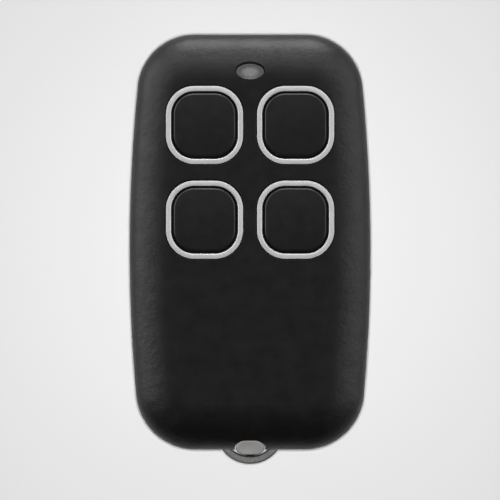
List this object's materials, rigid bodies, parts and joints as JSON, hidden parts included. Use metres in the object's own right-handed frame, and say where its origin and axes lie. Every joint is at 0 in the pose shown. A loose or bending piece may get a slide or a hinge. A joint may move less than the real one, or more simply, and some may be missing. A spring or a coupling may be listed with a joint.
{
  "type": "gate remote control",
  "caption": "Key-ring radio remote for a gate: slim rounded black case with square push buttons in silver trims, a signal light and a split ring on a metal post.",
  "frame": {"origin": "middle of the flat back, between the two ends of the case", "axes": "+Z out of the button face, +Y towards the signal light, +X to the right of someone who looks at the buttons with the light up"},
  "size_m": [0.0378, 0.0673, 0.0129],
  "materials": {
    "case_plastic": "fine matte texture",
    "cap_plastic": "satin",
    "trim_silver": "satin silver",
    "smoked_lens": "smoky translucent",
    "lamp_white": "gloss",
    "satin_nickel": "satin nickel plate",
    "ring_steel": "bright nickel plate",
    "screw_steel": "zinc plate",
    "board_laminate": "green solder mask",
    "copper": "bare copper",
    "cell_steel": "bright steel",
    "spring_steel": "bright steel",
    "chip_plastic": "moulded black",
    "tinned_metal": "tinned",
    "can_steel": "bright steel",
    "coil_ferrite": "ferrite grey",
    "capacitor_ceramic": "ceramic tan",
    "resistor_black": "glazed",
    "switch_plastic": "moulded black",
    "switch_steel": "bright steel",
    "plunger_plastic": "moulded brown-black"
  },
  "bodies": {
    "housing": {"front_shell": "case_plastic", "back_shell": "case_plastic", "led_lens": "smoked_lens", "status_lamp": "lamp_white", "keyring_post": "satin_nickel", "case_screws": "screw_steel", "circuit_board": "board_laminate", "antenna_trace": "copper", "coin_cell": "cell_steel", "battery_strap": "spring_steel", "battery_contact": "spring_steel", "controller_chip": "chip_plastic", "controller_legs": "tinned_metal", "crystal_can": "can_steel", "radio_transistor": "chip_plastic", "tuning_coil": "coil_ferrite", "chip_capacitors": "capacitor_ceramic", "chip_resistors": "resistor_black", "switch_terminals": "tinned_metal", "button_trim_top_left": "trim_silver", "switch_housing_top_left": "switch_plastic", "switch_cover_top_left": "switch_steel", "switch_dome_top_left": "spring_steel", "button_trim_top_right": "trim_silver", "switch_housing_top_right": "switch_plastic", "switch_cover_top_right": "switch_steel", "switch_dome_top_right": "spring_steel", "button_trim_bottom_left": "trim_silver", "switch_housing_bottom_left": "switch_plastic", "switch_cover_bottom_left": "switch_steel", "switch_dome_bottom_left": "spring_steel", "button_trim_bottom_right": "trim_silver", "switch_housing_bottom_right": "switch_plastic", "switch_cover_bottom_right": "switch_steel", "switch_dome_bottom_right": "spring_steel"},
    "button_top_left": {"button_cap_top_left": "cap_plastic", "switch_plunger_top_left": "plunger_plastic"},
    "button_top_right": {"button_cap_top_right": "cap_plastic", "switch_plunger_top_right": "plunger_plastic"},
    "button_bottom_left": {"button_cap_bottom_left": "cap_plastic", "switch_plunger_bottom_left": "plunger_plastic"},
    "button_bottom_right": {"button_cap_bottom_right": "cap_plastic", "switch_plunger_bottom_right": "plunger_plastic"},
    "key_ring": {"split_ring": "ring_steel"}
  },
  "joints": [
    {"name": "press_top_left", "type": "slide", "parent": "housing", "child": "button_top_left", "axis": [0, 0, -1], "range_m": [0, 0.0003], "stiffness_N_per_m": 1500, "springref_m": -0.0008, "deforming": ["switch_dome_top_left"]},
    {"name": "press_top_right", "type": "slide", "parent": "housing", "child": "button_top_right", "axis": [0, 0, -1], "range_m": [0, 0.0003], "stiffness_N_per_m": 1500, "springref_m": -0.0008, "deforming": ["switch_dome_top_right"]},
    {"name": "press_bottom_left", "type": "slide", "parent": "housing", "child": "button_bottom_left", "axis": [0, 0, -1], "range_m": [0, 0.0003], "stiffness_N_per_m": 1500, "springref_m": -0.0008, "deforming": ["switch_dome_bottom_left"]},
    {"name": "press_bottom_right", "type": "slide", "parent": "housing", "child": "button_bottom_right", "axis": [0, 0, -1], "range_m": [0, 0.0003], "stiffness_N_per_m": 1500, "springref_m": -0.0008, "deforming": ["switch_dome_bottom_right"]},
    {"name": "ring_swing", "type": "hinge", "parent": "housing", "child": "key_ring", "pos_m": [0, -0.03223, 0.0056], "axis": [0, 0, 1], "continuous": true}
  ]
}
